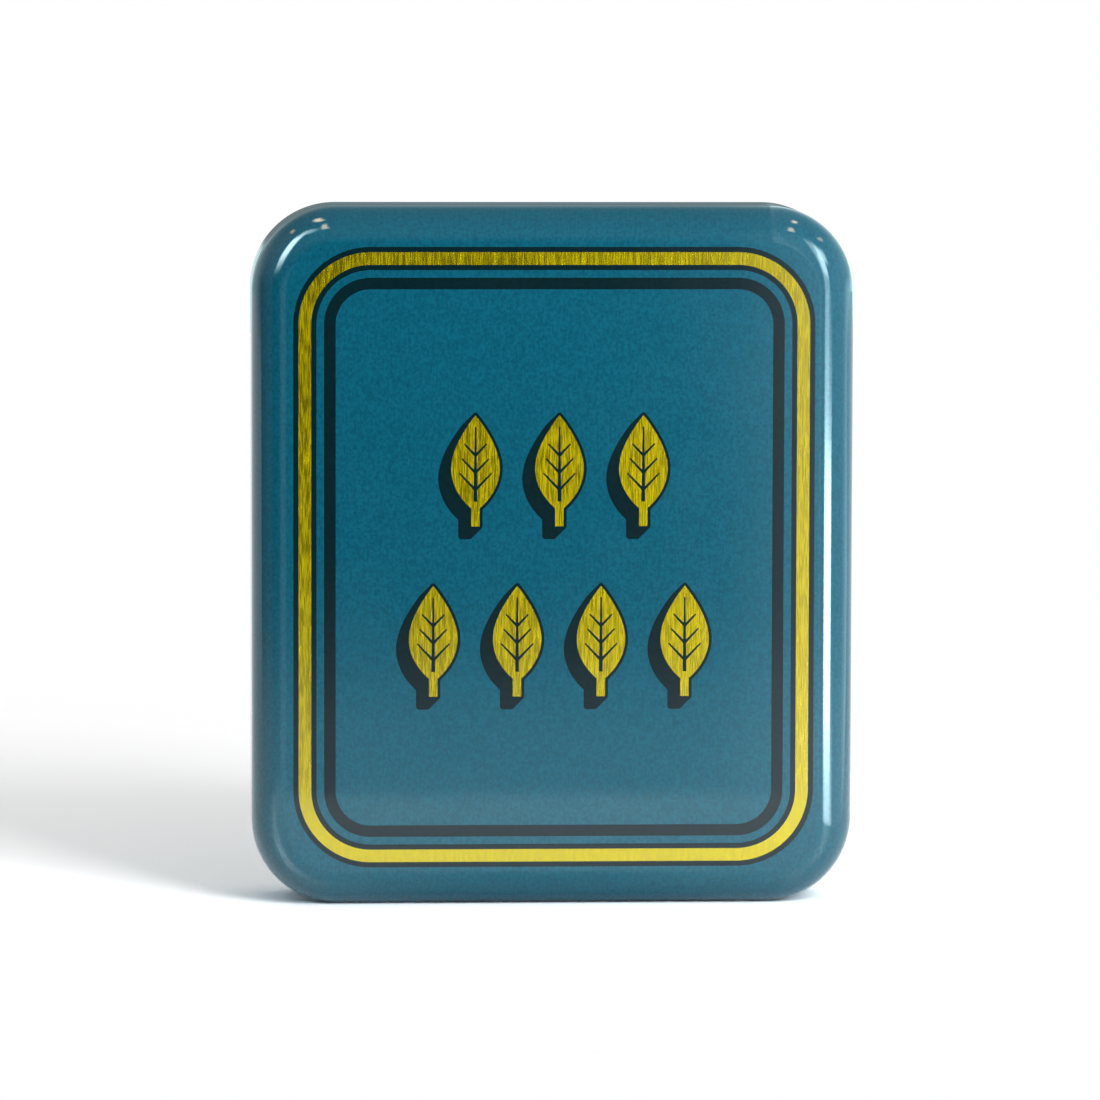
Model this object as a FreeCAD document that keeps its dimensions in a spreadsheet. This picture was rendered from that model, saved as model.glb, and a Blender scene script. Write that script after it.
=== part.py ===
"""A shut tea tin that stands on its short lower side: a lid with a rolled edge, seated over the base's neck.

Millimetres. X runs along the width, Y through the depth from the lid's face to the back, and Z up. The origin
is the middle of the side that the tin stands on. Both pieces are filled, because a shut tin shows no inside.
"""

import FreeCAD
import Part
import Sketcher
import math
import os

SIZES = {
    "tin_width": 82.0,
    "tin_height": 95.2,
    "tin_depth": 23.0,
    "corner_radius": 11.65,  # of the outline, seen from the front
    "lid_depth": 9.5,  # from the face to the rim of the skirt
    "face_roll": 5.0,  # radius of the rolled edge round the lid's face
    "back_roll": 5.0,  # radius of the rolled edge round the base's back
    "skirt_wall": 0.8,  # the lid's skirt, doubled by its hem
    "hem_radius": 0.35,  # rounds both edges of the skirt's rim
    "shoulder_radius": 0.6,  # rounds the base's edge beside the seam
    "seam_gap": 0.3,  # open slit between the rim and the base's shoulder
    "neck_height": 4.0,  # from the shoulder to the top of the neck
    "neck_clearance": 0.15,  # between the neck's side and the inside of the skirt
}

START, END = 1, 2  # the two ends of a sketch's line or arc
ACROSS, UPRIGHT = -1, -2  # a sketch's own two axes


def size_sheet(doc):
    """The spreadsheet that holds the driving dimensions, one alias for each."""
    sheet = doc.addObject("Spreadsheet::Sheet", "Sizes")
    for row, (alias, value) in enumerate(SIZES.items(), start=1):
        sheet.set(f"A{row}", alias)
        sheet.set(f"B{row}", str(value))
        sheet.setAlias(f"B{row}", alias)
    doc.recompute()
    return sheet


def new_body(doc, label):
    """An empty body whose label names the sub-part. Its sketches lie where the piece belongs in the tin."""
    body = doc.addObject("PartDesign::Body", label.capitalize())
    body.Label = label
    body.Placement = FreeCAD.Placement()
    return body


def origin_plane(body, role):
    """The body's own origin plane with this role."""
    return next(plane for plane in body.Origin.OriginFeatures if plane.Role == role)


def outline_sketch(body, name, plane, inset="0"):
    """A rounded rectangle parallel to the face, inset by the same amount all round from the tin's outline.

    plane is the sketch's distance in front of the middle of the depth, and inset its distance inside the
    outline. Both are expressions on the sheet. The sketch's own x axis lies on its lower side.
    """
    sketch = body.newObject("Sketcher::SketchObject", name)
    sketch.AttachmentSupport = [(origin_plane(body, "XZ_Plane"), "")]
    sketch.MapMode = "FlatFace"
    sketch.setExpression("AttachmentOffset.Base.y", inset)
    sketch.setExpression("AttachmentOffset.Base.z", plane)

    # The tin's own outline, which the constraints below then move to the inset one.
    half, top, radius = SIZES["tin_width"] / 2, SIZES["tin_height"], SIZES["corner_radius"]
    quarter = math.pi / 2
    corners = [(half - radius, radius), (half - radius, top - radius)]
    corners += [(radius - half, top - radius), (radius - half, radius)]
    arcs, sides = [], []
    for turn, (x, y) in enumerate(corners):
        circle = Part.Circle(FreeCAD.Vector(x, y, 0), FreeCAD.Vector(0, 0, 1), radius)
        start = (turn - 1) * quarter
        arcs.append(sketch.addGeometry(Part.ArcOfCircle(circle, start, start + quarter)))
    for turn in range(4):
        start = sketch.getPoint(arcs[turn], END)
        end = sketch.getPoint(arcs[(turn + 1) % 4], START)
        sides.append(sketch.addGeometry(Part.LineSegment(start, end)))
    right, upper, left, lower = sides

    def constrain(*values):
        return sketch.addConstraint(Sketcher.Constraint(*values))

    for turn in range(4):
        constrain("Tangent", arcs[turn], END, sides[turn], START)
        constrain("Tangent", sides[turn], END, arcs[(turn + 1) % 4], START)
    constrain("Horizontal", upper)
    for side in (right, left):
        constrain("Vertical", side)
    for arc in arcs[1:]:
        constrain("Equal", arcs[0], arc)
    constrain("PointOnObject", lower, START, ACROSS)
    constrain("Symmetric", lower, START, lower, END, UPRIGHT)  # level as well as centred
    driven = [
        ("tin_width", constrain("DistanceX", left, START, right, START, 2 * half), 2),
        ("tin_height", constrain("DistanceY", lower, START, upper, START, top), 2),
        ("corner_radius", constrain("Radius", arcs[0], radius), 1),
    ]
    for alias, index, insets in driven:
        sketch.renameConstraint(index, alias)
        sketch.setExpression(f"Constraints.{alias}", f"Sizes.{alias} - {insets} * {inset}")
    return sketch


def extrude(body, kind, name, sketch, length, backwards=False):
    """A Pad of the sketch, which grows towards the face, or a Pocket, which cuts away from it.

    backwards turns the direction round.
    """
    feature = body.newObject(f"PartDesign::{kind}", name)
    feature.Profile = sketch
    feature.setExpression("Length", length)
    feature.Reversed = backwards
    body.Document.recompute()
    return feature


def rounding(body, name, base, y, radius):
    """Rounds the edges of the base feature's flat face that lies at y and looks along Y."""
    flat = [
        f"Face{number}"
        for number, face in enumerate(base.Shape.Faces, start=1)
        if abs(face.BoundBox.YMin - y) < 1e-6 and abs(face.BoundBox.YMax - y) < 1e-6
    ]
    if len(flat) != 1:
        raise RuntimeError(f"{name}: {len(flat)} flat faces at y = {y:.3f}")
    feature = body.newObject("PartDesign::Fillet", name)
    feature.Base = (base, flat)
    feature.setExpression("Radius", radius)
    body.Document.recompute()
    return feature


def make_lid(doc, sheet):
    """The lid: rolled face edge, skirt and hem, with a pocket that takes the base's neck."""
    body = new_body(doc, "lid")
    rim = "Sizes.tin_depth / 2 - Sizes.lid_depth"
    rim_y = sheet.lid_depth - sheet.tin_depth / 2
    outline = outline_sketch(body, "LidOutline", rim)
    block = extrude(body, "Pad", "LidBlock", outline, "Sizes.lid_depth")
    rolled = rounding(body, "FaceRoll", block, -sheet.tin_depth / 2, "Sizes.face_roll")
    inside = outline_sketch(body, "SkirtInside", rim, "Sizes.skirt_wall")
    pocket_depth = "Sizes.neck_height - Sizes.seam_gap"
    pocket = extrude(body, "Pocket", "NeckPocket", inside, pocket_depth, backwards=True)
    if pocket.Shape.Volume >= rolled.Shape.Volume:
        raise RuntimeError("the neck's pocket cut nothing out of the lid")
    rounding(body, "Hem", pocket, rim_y, "min(Sizes.hem_radius; 0.45 * Sizes.skirt_wall)")
    return body


def make_base(doc, sheet):
    """The base: wall, rolled back edge, rounded shoulder beside the seam, and the neck inside the skirt."""
    body = new_body(doc, "base")
    shoulder = "Sizes.tin_depth / 2 - Sizes.lid_depth - Sizes.seam_gap"
    shoulder_y = sheet.lid_depth + sheet.seam_gap - sheet.tin_depth / 2
    outline = outline_sketch(body, "BaseOutline", shoulder)
    wall_depth = "Sizes.tin_depth - Sizes.lid_depth - Sizes.seam_gap"
    block = extrude(body, "Pad", "BaseBlock", outline, wall_depth, backwards=True)
    rolled = rounding(body, "BackRoll", block, sheet.tin_depth / 2, "Sizes.back_roll")
    rounding(body, "Shoulder", rolled, shoulder_y, "Sizes.shoulder_radius")
    neck_inset = "(Sizes.skirt_wall + Sizes.neck_clearance)"
    neck = outline_sketch(body, "NeckOutline", shoulder, neck_inset)
    extrude(body, "Pad", "Neck", neck, "Sizes.neck_height")
    return body


def check(doc, bodies):
    """Stops the build if any object failed or any sub-part is not one valid solid."""
    for item in doc.Objects:
        if {"Invalid", "Error"} & set(item.State):
            raise RuntimeError(f"{item.Name} failed: {item.State}")
    for body in bodies:
        shape = body.Shape
        if shape.isNull() or not shape.isValid() or len(shape.Solids) != 1:
            raise RuntimeError(f"{body.Label} is not one valid solid")


def main():
    """Builds both pieces, checks them and writes one file for each."""
    doc = FreeCAD.newDocument("TeaTin")
    sheet = size_sheet(doc)
    bodies = [make_lid(doc, sheet), make_base(doc, sheet)]
    doc.recompute()
    check(doc, bodies)
    os.makedirs("parts", exist_ok=True)
    for body in bodies:
        body.Shape.exportStep(f"parts/{body.Label}.step")
        box = body.Shape.optimalBoundingBox()
        size = f"{box.XLength:.2f} x {box.YLength:.2f} x {box.ZLength:.2f} mm"
        print(f"{body.Label}: {size}, {body.Shape.Volume:.1f} mm3")


main()
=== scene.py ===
"""The finish, stage and light of a shut tea tin.

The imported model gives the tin's two solids, the lid and the base. Each is replaced by a closed skin of
the same form, whose printed faces are cut into the fields of the print: teal ground, gold and dark ink.
Everything is in metres, in the model's frame: X to the right, Y from the lid's face to the back, Z up.
"""

import logging
import math
from dataclasses import dataclass, field, replace
from enum import Enum, IntEnum
from typing import Any, Iterable, Sequence

import bpy
import numpy as np
from mathutils import Matrix, Vector
from mathutils.geometry import convex_hull_2d, delaunay_2d_cdt


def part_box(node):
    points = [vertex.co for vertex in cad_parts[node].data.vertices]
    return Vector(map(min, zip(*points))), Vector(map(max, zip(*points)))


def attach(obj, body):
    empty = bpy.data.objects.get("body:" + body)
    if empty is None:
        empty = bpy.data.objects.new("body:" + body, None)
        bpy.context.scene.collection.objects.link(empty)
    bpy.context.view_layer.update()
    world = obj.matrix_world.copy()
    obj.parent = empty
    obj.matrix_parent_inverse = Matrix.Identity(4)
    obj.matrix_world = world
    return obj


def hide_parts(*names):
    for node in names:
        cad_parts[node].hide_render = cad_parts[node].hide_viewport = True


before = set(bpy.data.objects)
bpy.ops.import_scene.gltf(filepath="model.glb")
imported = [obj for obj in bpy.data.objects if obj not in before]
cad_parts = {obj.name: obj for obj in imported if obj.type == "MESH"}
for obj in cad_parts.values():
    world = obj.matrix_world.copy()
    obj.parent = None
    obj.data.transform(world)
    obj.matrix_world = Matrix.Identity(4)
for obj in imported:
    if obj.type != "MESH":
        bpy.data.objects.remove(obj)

LOG = logging.getLogger("tea_tin")
MM = 0.001
Pair = tuple[float, float]
Colour = tuple[float, float, float]
Socket = bpy.types.NodeSocket
Material = bpy.types.Material
Array = np.ndarray
WHITE: Colour = (1.0, 1.0, 1.0)


def add_object(name: str, data: bpy.types.ID) -> bpy.types.Object:
    """Makes an object of a mesh, lamp or camera, and links it to the scene."""
    made = bpy.data.objects.new(name, data)
    bpy.context.scene.collection.objects.link(made)
    return made


# ---- shader maths


@dataclass(eq=False)
class Value:
    """An output socket's value. Its operators add Math nodes, so that expressions read as arithmetic."""

    tree: "Tree"
    socket: Socket

    def math(self, operation: str, *others: "Value | float") -> "Value":
        """Adds a Math node whose inputs are this value and the others, and returns its result."""
        return self.tree.value("ShaderNodeMath", {"operation": operation}, dict(enumerate((self, *others))))

    def __add__(self, other: "Value | float") -> "Value":
        """This value plus another."""
        return self.math("ADD", other)

    def __sub__(self, other: "Value | float") -> "Value":
        """This value minus another."""
        return self.math("SUBTRACT", other)

    def __rsub__(self, other: float) -> "Value":
        """A number minus this value."""
        return (self * -1.0).math("ADD", other)

    def __mul__(self, other: "Value | float") -> "Value":
        """This value times another."""
        return self.math("MULTIPLY", other)

    __radd__ = __add__
    __rmul__ = __mul__

    def step(self, start: float, end: float) -> "Value":
        """A smooth step of this value: 0 at start, 1 at end, by 3t^2 - 2t^3 between them."""
        settings = {"interpolation_type": "SMOOTHSTEP"}
        inputs = {"Value": self, "From Min": start, "From Max": end}
        return self.tree.value("ShaderNodeMapRange", settings, inputs)

    def larger(self, other: "Value") -> "Value":
        """The larger of this value and another."""
        return self.math("MAXIMUM", other)


class Tree:
    """A material's or a world's node tree, emptied and ready for new nodes."""

    def __init__(self, owner: Material | bpy.types.World) -> None:
        """Switches on the owner's nodes and clears them.

        Args:
            owner: the material or world.
        """
        owner.use_nodes = True
        self.nodes = owner.node_tree.nodes
        self.links = owner.node_tree.links
        self.nodes.clear()

    def node(
        self, kind: str, settings: dict[str, Any] | None = None, inputs: dict[str | int, Any] | None = None
    ) -> bpy.types.Node:
        """Adds a node.

        Args:
            kind: the node's type.
            settings: its properties, which are set first.
            inputs: a number, colour, socket or Value for each of its inputs, by name or place.

        Returns:
            The node.
        """
        made = self.nodes.new(kind)
        for name, setting in (settings or {}).items():
            setattr(made, name, setting)
        for key, given in (inputs or {}).items():
            given = given.socket if isinstance(given, Value) else given
            if isinstance(given, Socket):
                self.links.new(given, made.inputs[key])
            else:
                made.inputs[key].default_value = given
        return made

    def value(self, kind: str, settings: dict[str, Any] | None, inputs: dict[str | int, Any]) -> Value:
        """Adds a node and returns its first output as a Value."""
        return Value(self, self.node(kind, settings, inputs).outputs[0])

    def shader(self, kind: str, inputs: dict[str | int, Any]) -> Socket:
        """Adds a shader node and returns its output."""
        return self.node(kind, None, inputs).outputs[0]

    def mixed(self, factor: Any, start: Socket, end: Socket) -> Socket:
        """The shader that lies between two others."""
        return self.shader("ShaderNodeMixShader", {0: factor, 1: start, 2: end})

    def surface(self, shader: Socket) -> None:
        """Makes a shader the material's surface."""
        self.node("ShaderNodeOutputMaterial", None, {"Surface": shader})

    def ray(self, kind: str) -> Value:
        """Whether a ray is of a kind, such as Camera, as 1 or 0."""
        return Value(self, self.node("ShaderNodeLightPath").outputs[f"Is {kind} Ray"])

    def distance(self) -> Value:
        """The distance from the object's origin."""
        at = self.node("ShaderNodeTexCoord").outputs["Object"]
        length = self.node("ShaderNodeVectorMath", {"operation": "LENGTH"}, {0: at})
        return Value(self, length.outputs["Value"])

    def place(self, stretch: Sequence[float]) -> Socket:
        """Object coordinates divided by a length along each axis.

        Args:
            stretch: the three lengths. An axis with a length of 0 is left out of the pattern.

        Returns:
            The scaled coordinates.
        """
        at = self.node("ShaderNodeTexCoord").outputs["Object"]
        scale = [1 / length if length else 0.0 for length in stretch]
        return self.node("ShaderNodeVectorMath", {"operation": "MULTIPLY"}, {0: at, 1: scale}).outputs[0]

    def blend(self, factor: Value, start: Sequence[float], end: Sequence[float]) -> Socket:
        """The colour that lies between two others."""
        first, second, result = 6, 7, 2  # the Mix node's places for colours
        inputs = {"Factor": factor, first: (*start, 1.0), second: (*end, 1.0)}
        return self.node("ShaderNodeMix", {"data_type": "RGBA"}, inputs).outputs[result]

    def bump(self, height: Value, distance: float) -> Socket:
        """A normal bent by a height whose full range is distance metres."""
        return self.node("ShaderNodeBump", None, {"Height": height, "Distance": distance}).outputs[0]


# ---- finishes


@dataclass(frozen=True)
class Grain:
    """Noise from 0 to 1 whose grains are about as long as size says along each axis.

    Attributes:
        size: the three lengths. An axis with a length of 0 is left out.
        detail: how many times finer noise is added.
        share: what it counts for in a sum of grains.
    """

    size: tuple[float, float, float]
    detail: float = 2.0
    share: float = 1.0

    def value(self, tree: Tree) -> Value:
        """Adds the noise to a tree."""
        inputs = {"Vector": tree.place(self.size), "Scale": 1.0, "Detail": self.detail}
        return tree.value("ShaderNodeTexNoise", None, inputs)


def even(length: float) -> tuple[float, float, float]:
    """The same length along each axis."""
    return (length, length, length)


@dataclass(frozen=True)
class PrintedInk:
    """Opaque ink on tinplate under a clear gloss varnish.

    Attributes:
        name: the material's name.
        pale: the colour at the palest grains.
        deep: the colour at the deepest grains.
        varnish: the varnish's refractive index.
        tint: the colour of what the varnish reflects.
        mottle: the ink's mottling.
        brushed: the brushed metal that shows through it.
        contrast: the values of their sum at which the ink is deepest and palest.
        smoothness: the varnish's lowest roughness.
        dulling: how the roughness rises above it.
        waves: the varnish's ripples.
        ripple: their height.
    """

    name: str
    pale: Colour
    deep: Colour
    varnish: float = 1.65
    tint: Colour = (0.65, 0.93, 1.0)
    mottle: Grain = Grain(even(0.42 * MM), 3.0, 0.75)
    brushed: Grain = Grain((0.22 * MM, 0, 2.2 * MM), 2.0, 0.35)
    contrast: Pair = (0.33, 0.77)
    smoothness: float = 0.05
    dulling: Grain = Grain(even(9 * MM), 2.0, 0.04)
    waves: tuple[Grain, ...] = (
        Grain(even(6 * MM), 1.0, 0.4),
        Grain(even(1 * MM), 1.0, 0.12),
        Grain((7 * MM, 7 * MM, 0.6 * MM), 2.0, 0.18),
    )
    ripple: float = 0.004 * MM

    def material(self) -> Material:
        """Builds the material.

        Returns:
            The material.
        """
        made = bpy.data.materials.new(self.name)
        tree = Tree(made)
        depth = sum(grain.value(tree) * grain.share for grain in (self.mottle, self.brushed))
        wave = sum(grain.value(tree) * grain.share for grain in self.waves)
        inputs = {
            "Base Color": tree.blend(depth.step(*self.contrast), self.deep, self.pale),
            "Roughness": self.dulling.value(tree) * self.dulling.share + self.smoothness,
            "IOR": self.varnish,
            "Specular Tint": (*self.tint, 1.0),
            "Normal": tree.bump(wave, self.ripple),
        }
        tree.surface(tree.shader("ShaderNodeBsdfPrincipled", inputs))
        return made


@dataclass(frozen=True)
class GoldLacquer:
    """Clear gold lacquer over tinplate that is brushed upright, under the varnish.

    Attributes:
        name: the material's name.
        bright: the colour of the bright strokes.
        dull: the colour of the dull strokes.
        fine: the brush's strokes.
        broad: the broader bands that they lie in.
        contrast: the values of their sum at which a stroke is dull and bright.
        metallic: how much of the light the metal reflects.
        roughness: the dull strokes' roughness, and what the bright strokes add to it.
        varnish: the varnish's refractive index.
        gloss: the varnish's roughness.
        ripple: the depth of the strokes.
    """

    name: str
    bright: Colour
    dull: Colour
    fine: Grain = Grain((0.15 * MM, 0, 2.4 * MM), 2.0, 0.8)
    broad: Grain = Grain((0.525 * MM, 0, 6 * MM), 1.0, 0.4)
    contrast: Pair = (0.5, 0.72)
    metallic: float = 0.8
    roughness: Pair = (0.11, 0.1)
    varnish: float = 1.58
    gloss: float = 0.06
    ripple: float = 0.004 * MM

    def material(self) -> Material:
        """Builds the material.

        Returns:
            The material.
        """
        made = bpy.data.materials.new(self.name)
        tree = Tree(made)
        fine = self.fine.value(tree)
        strokes = (fine * self.fine.share + self.broad.value(tree) * self.broad.share).step(*self.contrast)
        smoothest, spread = self.roughness
        inputs = {
            "Base Color": tree.blend(strokes, self.dull, self.bright),
            "Metallic": self.metallic,
            "Roughness": smoothest + spread * strokes,
            "Specular IOR Level": 0.0,
            "Coat Weight": 1.0,
            "Coat IOR": self.varnish,
            "Coat Roughness": self.gloss,
            "Normal": tree.bump(fine, self.ripple),
        }
        tree.surface(tree.shader("ShaderNodeBsdfPrincipled", inputs))
        return made


@dataclass(frozen=True)
class BareTinplate:
    """Tinplate with no print, as on the neck inside the seam.

    Attributes:
        name: the material's name.
        pale: the colour of the palest streaks.
        dull: the colour of the dullest streaks.
        rolled: the streaks that rolling left.
        roughness: the dullest streaks' roughness, and what the palest add to it.
        ripple: the streaks' depth.
    """

    name: str = "bare_tinplate"
    pale: Colour = (0.56, 0.55, 0.51)
    dull: Colour = (0.448, 0.44, 0.408)
    rolled: Grain = Grain((0.3 * MM, 4 * MM, 4 * MM), 3.0)
    roughness: Pair = (0.28, 0.15)
    ripple: float = 0.002 * MM

    def material(self) -> Material:
        """Builds the material.

        Returns:
            The material.
        """
        made = bpy.data.materials.new(self.name)
        tree = Tree(made)
        rolled = self.rolled.value(tree)
        smoothest, spread = self.roughness
        inputs = {
            "Base Color": tree.blend(rolled, self.dull, self.pale),
            "Metallic": 1.0,
            "Roughness": smoothest + spread * rolled,
            "Normal": tree.bump(rolled, self.ripple),
        }
        tree.surface(tree.shader("ShaderNodeBsdfPrincipled", inputs))
        return made


class Ink(IntEnum):
    """The fields of the print and the bare metal, in the order of a skin's material slots."""

    TEAL = 0
    GOLD = 1
    DARK = 2
    BARE = 3


def finishes() -> list[Material]:
    """Builds one material for each member of Ink.

    Returns:
        The materials, in the order of Ink.
    """
    teal = PrintedInk("teal_ink", pale=(0.0045, 0.140, 0.220), deep=(0.0025, 0.091, 0.149))
    gold = GoldLacquer("gold_lacquer", bright=(0.61, 0.51, 0.003), dull=(0.47, 0.392, 0.002))
    dark = PrintedInk(
        "dark_ink",
        pale=(0.0022, 0.0205, 0.0265),
        deep=(0.0018, 0.0160, 0.0210),
        varnish=1.5,
        tint=(0.85, 0.92, 1.0),
    )
    return [teal.material(), gold.material(), dark.material(), BareTinplate().material()]


# ---- outlines and profiles


class OutlinePath:
    """The stations round a rounded rectangle, anticlockwise from its lower right corner as seen in front.

    A station is a seat on the rectangle through the corner centres, given as shares of its half sizes,
    and an outward direction. Round a corner the direction turns, and along a side the seat moves.
    """

    def __init__(self, per_corner: int, per_side: int) -> None:
        """Works out the stations.

        Args:
            per_corner: the steps round a quarter turn.
            per_side: the steps along a straight side.
        """
        signs = np.array([(1, -1), (1, 1), (-1, 1), (-1, -1)], float)
        quarter = np.linspace(0, 1, per_corner + 1)
        along = np.linspace(0, 1, per_side + 1)[1:-1]
        seats, turns = [], []
        for corner in range(4):
            here, after = signs[corner], signs[(corner + 1) % 4]
            seats += [np.tile(here, (len(quarter), 1)), here + along[:, None] * (after - here)]
            turns += [corner - 1 + quarter, np.full(len(along), float(corner))]
        angle = np.concatenate(turns) * math.pi / 2
        self.seats = np.concatenate(seats)
        self.outward = np.stack([np.cos(angle), np.sin(angle)], axis=1)


@dataclass(frozen=True)
class Outline:
    """A rounded rectangle, parallel to the lid's face and centred on it."""

    half_width: float
    half_height: float
    corner: float

    def inset(self, distance: float) -> "Outline":
        """The outline that runs this far inside."""
        return Outline(self.half_width - distance, self.half_height - distance, self.corner - distance)

    def points(self, path: OutlinePath) -> Array:
        """Each station's seat moved outward by the corner's radius, as x and height above the middle."""
        half = np.array([self.half_width - self.corner, self.half_height - self.corner])
        return path.seats * half + self.corner * path.outward


class Profile:
    """A section through the tin's wall, from the front to the back: insets from the outline, and depths."""

    def __init__(self, inset: float, depth: float) -> None:
        """Starts the section.

        Args:
            inset: the first point's distance inside the outline.
            depth: its Y.
        """
        self.points = [np.array([[inset, depth]])]
        self.starts: list[Array] = []
        self.ends: list[Array] = []
        self.inks: list[int] = []

    def _add(self, points: Array, normals: Array, ink: Ink) -> None:
        """Joins a stretch to the section.

        Args:
            points: the stretch's points after its first, which is the section's last.
            normals: the surface's normals at all of its points, as outward and Y parts.
            ink: what covers it.
        """
        self.points.append(points)
        self.starts.append(normals[:-1])
        self.ends.append(normals[1:])
        self.inks += [int(ink)] * len(points)

    def line(self, inset: float, depth: float, steps: int = 1, ink: Ink = Ink.TEAL) -> "Profile":
        """A straight stretch. Its normal is its direction turned a quarter towards the outside.

        Args:
            inset: the end's distance inside the outline.
            depth: the end's Y.
            steps: the number of steps.
            ink: what covers the stretch.

        Returns:
            The section itself.
        """
        last, end = self.points[-1][-1], np.array([inset, depth])
        run = (end - last) / np.linalg.norm(end - last)
        share = np.linspace(0, 1, steps + 1)[1:, None]
        self._add(last + share * (end - last), np.tile([run[1], run[0]], (steps + 1, 1)), ink)
        return self

    def arc(self, radius: float, start: float, end: float, steps: int, ink: Ink = Ink.TEAL) -> "Profile":
        """A round stretch: a circle's points at even turns of its normal.

        Args:
            radius: the circle's radius.
            start: the first normal's turn from straight out, towards the back, in degrees.
            end: the last normal's turn.
            steps: the number of steps.
            ink: what covers the stretch.

        Returns:
            The section itself.
        """
        turn = np.radians(np.linspace(start, end, steps + 1))
        normals = np.stack([np.cos(turn), np.sin(turn)], axis=1)
        centre = self.points[-1][-1] - radius * normals[0] * (-1, 1)
        self._add(centre + radius * normals[1:] * (-1, 1), normals, ink)
        return self


# ---- the print


@dataclass(frozen=True)
class Field:
    """One field of the print: a closed outline in the face's plane, and the ink inside it."""

    points: Array
    ink: Ink


@dataclass(frozen=True)
class Border:
    """The bands that frame the face, from the outside in. They are concentric round the corners."""

    outer: Outline = Outline(35.4 * MM, 42.2 * MM, 10.5 * MM)
    bands: tuple[tuple[float, Ink], ...] = (
        (0.71 * MM, Ink.DARK),
        (1.72 * MM, Ink.GOLD),
        (0.71 * MM, Ink.DARK),
        (1.03 * MM, Ink.TEAL),
        (1.57 * MM, Ink.DARK),
    )


@dataclass(frozen=True)
class LeafMotif:
    """Two rows of upright tea leaves in gold, each with a keyline and a block shadow down to the left.

    Attributes:
        rows: for each row, its number of leaves and the height of its middle above the face's.
        pitch: from one leaf to the next.
        blade: the blade's width and length.
        fullness: the powers that set where the blade is widest and how full it is.
        foot_lift: how far the blade is above the leaf's middle, as a share of the stalk's length.
        stalk: the stalk's width and length.
        stalk_ends: the heights of its ends above the blade's foot, as shares of its length.
        rib: where the rib starts and ends, as shares of the blade's length.
        rib_widths: the rib's widths there.
        veins: the number of veins on each side.
        vein_roots: where the first leaves the rib, and the step to the next, as shares of the length.
        vein_reach: how far the first goes sideways, and the change to the next, as shares of the width.
        vein_rise: how far a vein rises for each millimetre sideways.
        vein_widths: a vein's widths at its two ends.
        keyline: the width of the dark line round the gold.
        shadow: how far the block shadow runs, along X and up.
        steps: the steps along each edge of the blade.
        brush_steps: the steps round the brush that draws the keyline.
    """

    rows: tuple[tuple[int, float], ...] = ((3, 12.4 * MM), (4, -10.8 * MM))
    pitch: float = 11.4 * MM
    blade: Pair = (6.6 * MM, 13.0 * MM)
    fullness: Pair = (0.85, 0.92)
    foot_lift: float = 0.15
    stalk: Pair = (1.15 * MM, 3.2 * MM)
    stalk_ends: Pair = (0.4, -0.65)
    rib: Pair = (0.10, 0.88)
    rib_widths: Pair = (0.52 * MM, 0.2 * MM)
    veins: int = 3
    vein_roots: Pair = (0.22, 0.18)
    vein_reach: Pair = (0.33, -0.05)
    vein_rise: float = 1.05
    vein_widths: Pair = (0.38 * MM, 0.2 * MM)
    keyline: float = 0.4 * MM
    shadow: Pair = (-1.36 * MM, -1.36 * MM)
    steps: int = 28
    brush_steps: int = 12

    def blade_outline(self) -> Array:
        """The blade, whose half width is a sine of its length.

        At a share of the length, the half width is half of the full width times a power of the sine of pi
        times that share to another power.

        Returns:
            Its points, round the middle of the whole leaf.
        """
        width, length = self.blade
        widest, full = self.fullness
        share = np.linspace(0, 1, self.steps + 1)
        half = width / 2 * np.sin(math.pi * share**widest) ** full
        right = np.stack([half, self.foot + share * length], axis=1)
        left = right[-2:0:-1] * (-1, 1)
        return np.concatenate([right, left])

    @property
    def foot(self) -> float:
        """The height of the blade's lower end above the leaf's middle."""
        return self.foot_lift * self.stalk[1] - self.blade[1] / 2

    @staticmethod
    def strip(start: Sequence[float], end: Sequence[float], widths: Pair) -> Array:
        """A tapered bar between two points.

        Args:
            start: the middle of its first end.
            end: the middle of its second end.
            widths: its width at each end.

        Returns:
            Its four corners.
        """
        first, last = np.array(start), np.array(end)
        run = (last - first) / np.linalg.norm(last - first)
        side = np.array([run[1], -run[0]]) / 2
        at_first, at_last = widths[0] * side, widths[1] * side
        return np.array([first + at_first, last + at_last, last - at_last, first - at_first])

    def shaded(self, shape: Array) -> Array:
        """The dark field behind a gold shape: the convex outline of its keyline and that keyline's shadow.

        Args:
            shape: the gold shape's points.

        Returns:
            The dark field's points, anticlockwise.
        """
        turn = np.linspace(0, 2 * math.pi, self.brush_steps, endpoint=False)
        ring = self.keyline * np.stack([np.cos(turn), np.sin(turn)], axis=1)
        grown = (shape[:, None] + ring).reshape(-1, 2)
        cloud = np.concatenate([grown, grown + self.shadow])
        return cloud[convex_hull_2d(cloud.tolist())]

    def leaf(self) -> list[Field]:
        """One leaf round its middle.

        Returns:
            Its fields, from the lowest to the topmost.
        """
        width, length = self.blade
        foot = self.foot
        blade = self.blade_outline()
        top, bottom = (foot + share * self.stalk[1] for share in self.stalk_ends)
        stalk = self.strip((0, top), (0, bottom), (self.stalk[0], self.stalk[0]))
        fields = [Field(self.shaded(shape), Ink.DARK) for shape in (blade, stalk)]
        fields += [Field(shape, Ink.GOLD) for shape in (blade, stalk)]
        start, end = (foot + share * length for share in self.rib)
        fields.append(Field(self.strip((0, start), (0, end), self.rib_widths), Ink.DARK))
        for number in range(self.veins):
            root = foot + (self.vein_roots[0] + self.vein_roots[1] * number) * length
            reach = (self.vein_reach[0] + self.vein_reach[1] * number) * width
            for side in (-1, 1):
                tip = (side * reach, root + self.vein_rise * reach)
                fields.append(Field(self.strip((0, root), tip, self.vein_widths), Ink.DARK))
        return fields

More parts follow.
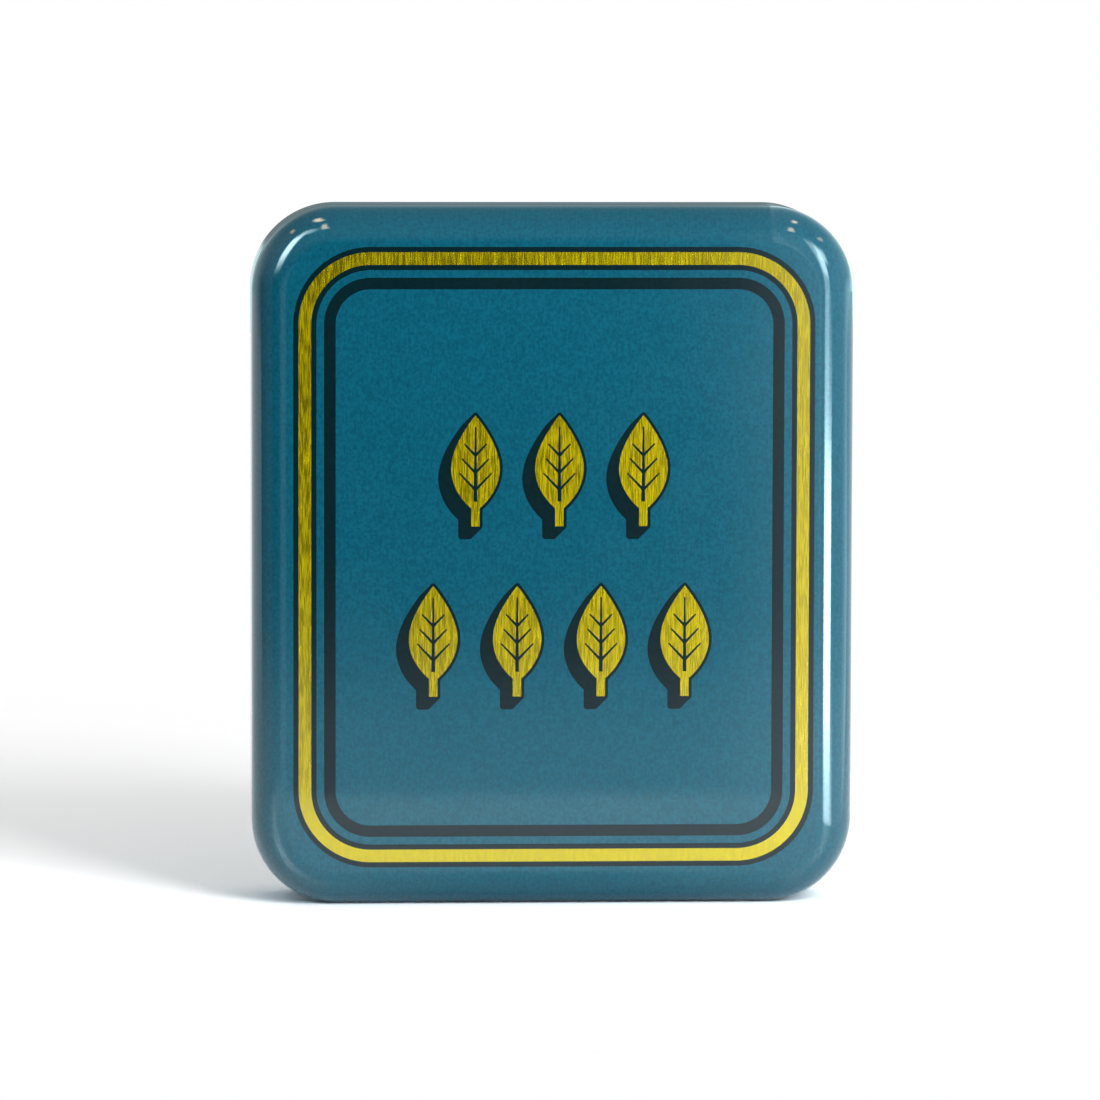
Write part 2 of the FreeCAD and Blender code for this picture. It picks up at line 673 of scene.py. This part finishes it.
    def fields(self) -> list[Field]:
        """Every leaf, with each row centred together with its shadow.

        Returns:
            Their fields, one leaf after another.
        """
        leaf = self.leaf()
        made = []
        for count, height in self.rows:
            for place in range(count):
                middle = ((place - (count - 1) / 2) * self.pitch - self.shadow[0] / 2, height)
                made += [replace(part, points=part.points + middle) for part in leaf]
        return made


# ---- skins


class Facing(Enum):
    """Which way a flat face looks along Y."""

    FRONT = -1
    BACK = 1


@dataclass
class Skin:
    """A closed skin being built, one sheet of faces at a time, with an ink and corner normals for each."""

    path: OutlinePath
    outline: Outline
    middle: float
    vertices: list[Array] = field(default_factory=list)
    faces: list[list[int]] = field(default_factory=list)
    normals: list[Array] = field(default_factory=list)
    inks: list[int] = field(default_factory=list)
    count: int = 0

    def ring(self, points: Array, depth: float) -> Array:
        """Adds vertices at one depth.

        Args:
            points: their x, and their height above the face's middle.
            depth: their Y.

        Returns:
            Their numbers.
        """
        made = np.stack([points[:, 0], np.full(len(points), depth), points[:, 1] + self.middle], axis=1)
        self.vertices.append(made)
        numbers = np.arange(self.count, self.count + len(made))
        self.count += len(made)
        return numbers

    def quads(self, outer: Array, inner: Array, normals: Sequence[Array], ink: int) -> None:
        """Adds a closed band of four-sided faces between two rings of vertices.

        Args:
            outer: the first ring's numbers.
            inner: the second ring's numbers.
            normals: the normals at the first ring and at the second.
            ink: what covers the band.
        """
        after, later = np.roll(outer, -1), np.roll(inner, -1)
        at, to = normals
        self.faces += np.stack([outer, inner, later, after], axis=1).tolist()
        corners = np.stack([at, to, np.roll(to, -1, 0), np.roll(at, -1, 0)], axis=1)
        self.normals.append(corners.reshape(-1, 3))
        self.inks += [ink] * len(outer)

    def wall(self, profile: Profile) -> tuple[Array, Array]:
        """Carries a section round the outline. A normal is outward times its outward part, plus its Y part.

        Args:
            profile: the section.

        Returns:
            The numbers of the first ring and of the last.
        """
        points = np.concatenate(profile.points)
        starts, ends = np.concatenate(profile.starts), np.concatenate(profile.ends)
        rings = [self.ring(self.outline.inset(inset).points(self.path), depth) for inset, depth in points]
        x, z = self.path.outward.T
        for band, ink in enumerate(profile.inks):
            bent = [
                np.stack([out * x, np.full(len(x), back), out * z], axis=1)
                for out, back in (starts[band], ends[band])
            ]
            self.quads(rings[band], rings[band + 1], bent, ink)
        return rings[0], rings[-1]

    def flat(self, faces: Iterable[Sequence[int]], facing: Facing, inks: Sequence[int]) -> None:
        """Adds flat faces, given anticlockwise as seen from the front.

        Args:
            faces: their vertices' numbers.
            facing: which way they look.
            inks: what covers each.
        """
        for face, ink in zip(faces, inks):
            self.faces.append(list(face) if facing is Facing.FRONT else list(face)[::-1])
            self.normals.append(np.tile([0.0, float(facing.value), 0.0], (len(face), 1)))
            self.inks.append(int(ink))

    def printed_face(
        self, edge: Array, depth: float, facing: Facing, border: Border, motif: Sequence[Field] = ()
    ) -> None:
        """Closes a ring with the printed face: the margin, the border's bands and the panel with its motif.

        Args:
            edge: the numbers of the ring that bounds the face.
            depth: the face's Y.
            facing: which way it looks.
            border: the bands.
            motif: the fields on the panel, from the lowest to the topmost.
        """
        widths = [0.0, *np.cumsum([width for width, _ in border.bands])]
        inks = [Ink.TEAL, *(ink for _, ink in border.bands)]
        outer = edge
        for distance, ink in zip(widths, inks):
            points = border.outer.inset(distance).points(self.path)
            inner = self.ring(points, depth)
            strips = np.stack([outer, np.roll(outer, -1), np.roll(inner, -1), inner], axis=1)
            self.flat(strips.tolist(), facing, [ink] * len(strips))
            outer = inner
        self.panel(outer, points, depth, facing, motif)

    def panel(
        self, edge: Array, points: Array, depth: float, facing: Facing, motif: Sequence[Field]
    ) -> None:
        """Fills a ring with triangles that follow the motif's outlines.

        A triangle has the ink of the topmost field that covers it. The outlines are cut in millimetres.

        Args:
            edge: the numbers of the ring.
            points: its points in the face's plane.
            depth: the face's Y.
            facing: which way it looks.
            motif: the fields, from the lowest to the topmost.
        """
        shapes = [points, *(part.points for part in motif)]
        inks = [Ink.TEAL, *(part.ink for part in motif)]
        starts = np.cumsum([0, *(len(shape) for shape in shapes)])
        loops = [list(range(start, start + len(shape))) for start, shape in zip(starts, shapes)]
        corners = [Vector(point) for point in (np.concatenate(shapes) / MM).tolist()]
        inside_only, tolerance = 1, 1e-5
        cut = delaunay_2d_cdt(corners, [], loops, inside_only, tolerance, True)
        places, triangles, origins, covers = cut[0], cut[2], cut[3], cut[5]
        numbers = [next((edge[first] for first in origin if first < len(edge)), None) for origin in origins]
        fresh = [place for place, number in enumerate(numbers) if number is None]
        if fresh:
            added = self.ring(np.array([places[place] for place in fresh]) * MM, depth)
            for place, number in zip(fresh, added):
                numbers[place] = number
        faces = [[int(numbers[corner]) for corner in triangle] for triangle in triangles]
        self.flat(faces, facing, [inks[max(cover)] for cover in covers])

    def build(self, name: str, materials: Sequence[Material]) -> bpy.types.Object:
        """Makes the object, with the exact normals of the true form.

        Args:
            name: its name.
            materials: one for each member of Ink.

        Returns:
            The object, with only the materials that it uses.
        """
        used = sorted(set(self.inks))
        mesh = bpy.data.meshes.new(name)
        mesh.from_pydata(np.concatenate(self.vertices).tolist(), [], self.faces)
        for ink in used:
            mesh.materials.append(materials[ink])
        mesh.polygons.foreach_set("material_index", [used.index(ink) for ink in self.inks])
        mesh.polygons.foreach_set("use_smooth", [True] * len(self.faces))
        mesh.normals_split_custom_set(np.concatenate(self.normals).tolist())
        mesh.validate()
        return add_object(name, mesh)


@dataclass
class Tin:
    """What the lid and the base share: the outline, the seam and the print."""

    corner: float = 11.65 * MM
    skirt_wall: float = 0.8 * MM
    seam_gap: float = 0.3 * MM
    neck_clearance: float = 0.15 * MM
    wall_steps: int = 4
    hidden_steps: int = 2
    roll_steps: int = 22
    border: Border = Border()
    path: OutlinePath = field(default_factory=lambda: OutlinePath(per_corner=32, per_side=12))

    def __post_init__(self) -> None:
        """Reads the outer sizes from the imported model."""
        self.lid_low, self.lid_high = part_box("lid")
        self.base_low, self.base_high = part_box("base")
        half_width = (self.lid_high.x - self.lid_low.x) / 2
        half_height = (self.lid_high.z - self.lid_low.z) / 2
        self.outline = Outline(half_width, half_height, self.corner)
        self.middle = (self.lid_high.z + self.lid_low.z) / 2

    def skin(self) -> Skin:
        """A new, empty skin on the tin's outline."""
        return Skin(self.path, self.outline, self.middle)

    def finish(
        self, skin: Skin, node: str, slot: str, materials: Sequence[Material]
    ) -> bpy.types.Object:
        """Builds a skin in the place of a solid.

        Args:
            skin: the skin.
            node: the solid that it replaces.
            slot: the record's material slot; not used.
            materials: one for each member of Ink.

        Returns:
            The piece.
        """
        piece = skin.build(f"{node}_skin", materials)
        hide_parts(node)
        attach(piece, "root")
        return piece


@dataclass
class Lid:
    """The front piece: printed face, rolled edge, skirt and rounded hem."""

    tin: Tin
    roll: float = 5.0 * MM
    hem: float = 0.35 * MM
    hem_steps: int = 5
    motif: LeafMotif = LeafMotif()

    def build(self, materials: Sequence[Material]) -> bpy.types.Object:
        """Builds the lid's skin.

        Args:
            materials: one for each member of Ink.

        Returns:
            The piece.
        """
        tin, hem = self.tin, self.hem
        face, rim, floor = tin.lid_low.y, tin.lid_high.y, tin.base_low.y
        section = Profile(self.roll, face).arc(self.roll, -90, 0, tin.roll_steps)
        section.line(0, rim - hem, tin.wall_steps).arc(hem, 0, 90, self.hem_steps)
        section.line(tin.skirt_wall - hem, rim, ink=Ink.BARE)
        section.arc(hem, 90, 180, self.hem_steps, ink=Ink.BARE)
        section.line(tin.skirt_wall, floor, tin.hidden_steps, ink=Ink.BARE)
        skin = tin.skin()
        edge, inner = skin.wall(section)
        skin.printed_face(edge, face, Facing.FRONT, tin.border, self.motif.fields())
        skin.flat([inner.tolist()], Facing.BACK, [Ink.BARE])
        return tin.finish(skin, "lid", "lid_print", materials)


@dataclass
class Base:
    """The rest of the depth: neck, rounded shoulder, wall, rolled back edge and printed back."""

    tin: Tin
    roll: float = 5.0 * MM
    shoulder: float = 0.6 * MM
    shoulder_steps: int = 7

    def build(self, materials: Sequence[Material]) -> bpy.types.Object:
        """Builds the base's skin.

        Args:
            materials: one for each member of Ink.

        Returns:
            The piece.
        """
        tin = self.tin
        neck = tin.skirt_wall + tin.neck_clearance
        top, shoulder, back = tin.base_low.y, tin.lid_high.y + tin.seam_gap, tin.base_high.y
        section = Profile(neck, top).line(neck, shoulder, tin.hidden_steps, ink=Ink.BARE)
        section.line(self.shoulder, shoulder).arc(self.shoulder, -90, 0, self.shoulder_steps)
        section.line(0, back - self.roll, tin.wall_steps).arc(self.roll, 0, 90, tin.roll_steps)
        skin = tin.skin()
        inner, edge = skin.wall(section)
        skin.flat([inner.tolist()], Facing.FRONT, [Ink.BARE])
        skin.printed_face(edge, back, Facing.BACK, tin.border)
        return tin.finish(skin, "base", "base_print", materials)


# ---- stage and light


def towards(azimuth: float, elevation: float) -> Vector:
    """The direction from the tin at a turn to the right of its front and a height, both in degrees."""
    turn, lift = math.radians(azimuth), math.radians(elevation)
    return Vector((math.sin(turn) * math.cos(lift), -math.cos(turn) * math.cos(lift), math.sin(lift)))


@dataclass(frozen=True)
class Lamp:
    """A soft rectangular lamp aimed at the tin. It lights matt surfaces and doesn't show in gloss.

    Attributes:
        name: its name.
        azimuth: its direction from straight in front, to the right, in degrees.
        elevation: its height above the level, in degrees.
        distance: from the middle of the tin.
        size: its width and height.
        radiance: how bright its surface is, where 1 is a white surface in full light.
    """

    name: str
    azimuth: float
    elevation: float
    distance: float
    size: Pair
    radiance: float

    def build(self, target: Vector) -> None:
        """Makes the lamp. Its power is pi times its area times its radiance.

        Args:
            target: what it is aimed at.
        """
        data = bpy.data.lights.new(self.name, "AREA")
        data.shape = "RECTANGLE"
        data.size, data.size_y = self.size
        data.energy = math.pi * self.size[0] * self.size[1] * self.radiance
        lamp = add_object(self.name, data)
        back = towards(self.azimuth, self.elevation)
        lamp.location = target + back * self.distance
        lamp.rotation_euler = back.to_track_quat("Z", "Y").to_euler()
        lamp.visible_camera = False
        lamp.visible_glossy = False


@dataclass(frozen=True)
class Glow:
    """A soft-edged bright patch of the room that shows only in gloss.

    Attributes:
        name: what it stands for.
        azimuths: where it begins, is full, begins to fade and is gone, in degrees, at the level.
        elevations: the same, upwards.
        radiance: how bright it is, where 1 is a white surface in full light.
        lean: how far it leans sideways for each degree upwards.
        colour: its colour.
    """

    name: str
    azimuths: tuple[float, float, float, float]
    elevations: tuple[float, float, float, float]
    radiance: float
    lean: float = 0.0
    colour: Colour = WHITE

    def light(self, tree: Tree, azimuth: Value, elevation: Value) -> Socket:
        """Adds the patch to a world.

        Args:
            tree: the world's tree.
            azimuth: the direction's azimuth.
            elevation: its elevation.

        Returns:
            The patch's shader.
        """
        across = azimuth - elevation * self.lean if self.lean else azimuth
        (start, full, fading, end), (low, filled, thinning, high) = self.azimuths, self.elevations
        sideways = across.step(start, full) * across.step(end, fading)
        upwards = elevation.step(low, filled) * elevation.step(high, thinning)
        inputs = {"Color": (*self.colour, 1.0), "Strength": sideways * upwards * self.radiance}
        return tree.node("ShaderNodeBackground", {"label": self.name}, inputs).outputs[0]


@dataclass(frozen=True)
class Region:
    """A broad part of the room. Its radiance is multiplied by smooth steps along the direction's axes.

    Attributes:
        radiance: how bright it is where every step is 1.
        x: the start and end of each step along X.
        y: the same along Y.
        z: the same along Z.
    """

    radiance: float
    x: tuple[Pair, ...] = ()
    y: tuple[Pair, ...] = ()
    z: tuple[Pair, ...] = ()

    def light(self, direction: Sequence[Value]) -> Value | float:
        """The radiance times every step.

        Args:
            direction: the direction's x, y and z.

        Returns:
            The region's light in that direction.
        """
        light: Value | float = self.radiance
        for part, steps in zip(direction, (self.x, self.y, self.z)):
            for start, end in steps:
                light = part.step(start, end) * light
        return light


@dataclass(frozen=True)
class BrightSide:
    """The side of the room with the window. It begins with an edge a little right of straight in front.

    Attributes:
        soft_edge: the x of the direction at which its soft edge begins and ends.
        sharp_edge: the same for its sharp edge.
        sharp_share: how much of the light the sharp edge holds back.
        near: the x at which the gain near the edge begins and is full.
        gain: how much brighter it is there.
        radiance: how bright it is at the level, apart from that.
        upwards: the z over which it dims.
        dimming: how much it dims.
        turned: the y at which it begins to show, and shows in full, from straight behind.
    """

    soft_edge: Pair = (0.074, 0.098)
    sharp_edge: Pair = (0.086, 0.091)
    sharp_share: float = 0.55
    near: Pair = (0.2, 0.1)
    gain: float = 0.65
    radiance: float = 1.05
    upwards: Pair = (0.0, 0.8)
    dimming: float = 0.7
    turned: Pair = (0.996, 0.975)

    def light(self, direction: Sequence[Value]) -> Value:
        """The product of its edge, its gain near the edge, its dimming upwards and its end behind the tin.

        Args:
            direction: the direction's x, y and z.

        Returns:
            Its light in that direction.
        """
        x, y, z = direction
        edge = x.step(*self.soft_edge) * (1 - self.sharp_share)
        edge += x.step(*self.sharp_edge) * self.sharp_share
        height = self.radiance - self.dimming * z.step(*self.upwards)
        return edge * (1.0 + self.gain * x.step(*self.near)) * height * y.step(*self.turned)


WARM: Colour = (1.0, 0.58, 0.36)
WOOD: Colour = (1.0, 0.75, 0.55)


@dataclass(frozen=True)
class Room:
    """The room by direction: dim in front and bright to the right, with lamps that only gloss shows.

    Attributes:
        regions: its broad parts.
        bright_side: the side with the window.
        glows: what shows only in gloss.
        matt_share: how much of the broad light matt surfaces get.
        behind: the y over which gloss begins to show the colour behind the tin.
        behind_colour: that colour.
    """

    regions: tuple[Region, ...] = (
        Region(0.02),  # everywhere
        Region(0.34, z=((-0.05, 0.5),)),  # the ceiling
        Region(0.2, y=((0.0, 0.5),), z=((0.8, 0.1),)),  # behind the tin
        Region(0.8, x=((-0.3, -0.1), (0.08, 0.03)), y=((0.0, 0.3),), z=((0.0, -0.012),)),  # past the sheet
        Region(0.75, z=((-0.097, -0.110),)),  # the table in front of the sheet
        Region(0.2, z=((-0.088, -0.104),)),  # and its soft far edge
        Region(0.4, x=((-0.05, -0.22), (-0.50, -0.36)), z=((0.1, -0.02),)),  # a pale stand at the left
        Region(0.9, x=((-0.1, -0.4),), y=((0.0, 0.6),), z=((0.7, -0.03),)),  # the wall behind, at the left
        Region(1.4, x=((0.1, 0.35),), y=((-0.1, 0.35),), z=((0.15, -0.03),)),  # and at the right
    )
    bright_side: BrightSide = BrightSide()
    glows: tuple[Glow, ...] = (
        Glow("window", (20, 25, 34, 40), (-4.5, -3.9, 28, 38), 4.2, lean=0.3),
        Glow("sky", (21, 27, 33, 37.5), (3, 8, 14, 20), 7.5, lean=0.45),
        Glow("high_sky", (22, 28, 37, 45), (13.5, 19, 23, 33), 9.0, lean=0.5),
        Glow("window_core", (20.5, 25.5, 42, 47), (-6.5, -6.0, -4.5, -3.85), 34.0),
        Glow("window_foot", (22, 30, 44, 56), (-26, -7, -6.5, -6.0), 7.6),
        Glow("shelf", (-135, -100, -62, -45), (-25, -5, 40, 60), 0.2, colour=WOOD),
        Glow("lamp", (-56, -50, -40, -33), (8, 30, 40, 50), 17.0),
        Glow("lamp_end", (-50, -42, -36, -14), (42, 47, 51, 56), 6.5),
        Glow("bulb_1", (-118, -86, -64, -34), (70, 74, 76, 80), 15.0, colour=WARM),
        Glow("bulb_2", (-104, -94, -86, -76), (50, 52.5, 53.5, 56), 6.0, colour=WARM),
        Glow("bulb_3", (12, 16, 20, 24), (45, 52, 58, 68), 12.0, lean=-0.6, colour=WARM),
        Glow("bulb_4", (66, 74, 92, 100), (62.5, 65, 66, 68.5), 14.0, colour=WARM),
        Glow("bulb_5", (-19, -16, -12, -8), (41, 45, 50, 57), 12.0, lean=0.92, colour=WARM),
        Glow("bulb_6", (66, 76, 84, 94), (38, 40.5, 41.5, 44), 6.0, colour=WARM),
    )
    matt_share: float = 0.45
    behind: Pair = (0.0, 0.3)
    behind_colour: Colour = (0.80, 1.0, 1.02)

    def build(self) -> None:
        """Makes the world: white to the camera, whole in gloss, and its broad parts on matt surfaces."""
        made = bpy.data.worlds.new("studio")
        tree = Tree(made)
        at = tree.node("ShaderNodeTexCoord").outputs["Generated"]
        parts = tree.node("ShaderNodeSeparateXYZ", None, {0: at}).outputs
        x, y, z = direction = [Value(tree, part) for part in parts]
        seen, gloss = tree.ray("Camera"), tree.ray("Glossy")
        light = sum(region.light(direction) for region in self.regions) + self.bright_side.light(direction)
        light = light * (gloss * (1 - self.matt_share) + self.matt_share)
        colour = tree.blend(y.step(*self.behind) * gloss, WHITE, self.behind_colour)
        inputs = {"Color": colour, "Strength": light + seen * (1.0 - light)}
        broad = tree.shader("ShaderNodeBackground", inputs)
        azimuth = x.math("ARCTAN2", y * -1.0) * math.degrees(1.0)
        elevation = z.math("ARCSINE") * math.degrees(1.0)
        whole = broad
        for glow in self.glows:
            whole = tree.shader("ShaderNodeAddShader", {0: whole, 1: glow.light(tree, azimuth, elevation)})
        tree.node("ShaderNodeOutputWorld", None, {"Surface": tree.mixed(gloss, broad, whole)})
        bpy.context.scene.world = made


@dataclass(frozen=True)
class Paper:
    """The pale sheet that the tin stands on. The camera and gloss see its colour lifted to white.

    Attributes:
        outline: its corners, as x and y.
        colour: how pale it is to the light that it passes on.
        lifted: its colour to the camera and in gloss.
        far: the distances between which that turns into plain white.
        foot: its colour in gloss close to the tin: a painted shade of the tin, darker than the lifted
            colour.
        foot_shade_reach: the distances between which that painted shade turns into the lifted colour.
        sheen: how much it reflects in gloss.
        sheen_roughness: how blurred that is.
    """

    outline: tuple[Pair, ...] = (
        (-1.4, 1.4), (-1.4, 0.1), (-0.16, -0.02), (-0.12, -0.14), (0.06, -0.14),
        (0.085, -0.03), (0.5, 0.2), (1.4, 0.4), (1.4, 1.4),
    )
    colour: float = 0.86
    lifted: float = 2.08
    far: Pair = (0.15, 0.32)
    foot: float = 0.9
    foot_shade_reach: Pair = (0.012, 0.045)
    sheen: float = 0.2
    sheen_roughness: float = 0.3

    def material(self) -> Material:
        """Builds the material, by the kind of ray that meets it and the distance from the tin.

        Returns:
            The material.
        """
        made = bpy.data.materials.new("paper")
        tree = Tree(made)
        gloss = tree.ray("Glossy")
        seen = tree.ray("Camera").larger(gloss).larger(tree.ray("Transmission"))
        away = tree.distance()

        def matt(shade: float) -> Socket:
            """A matt grey."""
            return tree.shader("ShaderNodeBsdfDiffuse", {"Color": (shade, shade, shade, 1)})

        white = tree.shader("ShaderNodeEmission", {"Strength": 1.0})
        lifted = tree.mixed(away.step(*self.far), matt(self.lifted), white)
        # painted shade: close to the tin, gloss sees the sheet in a darker grey, standing in for the tin's
        # shade on it
        with_painted_foot_shade = tree.mixed(away.step(*self.foot_shade_reach), matt(self.foot), lifted)
        inputs = {"Color": (self.sheen, self.sheen, self.sheen, 1), "Roughness": self.sheen_roughness}
        sheen = tree.shader("ShaderNodeBsdfGlossy", inputs)
        in_gloss = tree.shader("ShaderNodeAddShader", {0: with_painted_foot_shade, 1: sheen})
        tree.surface(tree.mixed(seen, matt(self.colour), tree.mixed(gloss, lifted, in_gloss)))
        return made

    def build(self) -> None:
        """Makes the sheet."""
        mesh = bpy.data.meshes.new("sheet")
        mesh.from_pydata([(*corner, 0) for corner in self.outline], [], [list(range(len(self.outline)))])
        mesh.materials.append(self.material())
        add_object("sheet", mesh)


@dataclass(frozen=True)
class Viewpoint:
    """The camera, with a long lens, a little to the left of the tin and above it.

    Attributes:
        lens: the focal length in millimetres.
        distance: from the point that it is aimed at.
        azimuth: its direction from straight in front, to the right, in degrees.
        elevation: its height above the level, in degrees.
        aim: that point, from the middle of the lid's face, to the right and up.
        turn: how far it is turned about its own axis, in degrees.
    """

    lens: float = 241.2
    distance: float = 1.0
    azimuth: float = -3.17
    elevation: float = 4.85
    aim: Pair = (-0.58 * MM, 1.07 * MM)
    turn: float = 0.14

    def build(self, tin: Tin) -> None:
        """Makes the scene's camera.

        Args:
            tin: what it looks at.
        """
        data = bpy.data.cameras.new("camera")
        data.lens = self.lens
        made = add_object("camera", data)
        back = towards(self.azimuth, self.elevation)
        right, up = self.aim
        made.location = Vector((right, tin.lid_low.y, tin.middle + up)) + back * self.distance
        turned = Matrix.Rotation(math.radians(self.turn), 3, "Z")
        made.rotation_euler = (back.to_track_quat("Z", "Y").to_matrix() @ turned).to_euler()
        bpy.context.scene.camera = made


@dataclass(frozen=True)
class Studio:
    """A pale sheet on a table beside a window, in a dim room."""

    room: Room = Room()
    paper: Paper = Paper()
    viewpoint: Viewpoint = Viewpoint()
    lamps: tuple[Lamp, ...] = (
        Lamp("window", 28, 23, 0.48, (0.20, 0.35), 8.0),
        Lamp("fill", 195, 38, 1.3, (1.2, 0.8), 0.9),
    )

    def build(self, tin: Tin) -> None:
        """Makes the room, the sheet, the lamps and the camera.

        Args:
            tin: what stands in the studio.
        """
        self.room.build()
        self.paper.build()
        for lamp in self.lamps:
            lamp.build(Vector((0, 0, tin.middle)))
        self.viewpoint.build(tin)
        bpy.context.scene.view_settings.view_transform = "Standard"


def main() -> None:
    """Builds and reports the tin's pieces, then builds the studio."""
    logging.basicConfig(level=logging.INFO, format="%(name)s: %(message)s")
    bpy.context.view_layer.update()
    materials = finishes()
    tin = Tin()
    for part in (Lid(tin), Base(tin)):
        piece = part.build(materials)
        LOG.info("%s: %d faces", piece.name, len(piece.data.polygons))
    Studio().build(tin)


if __name__ == "__main__":
    main()
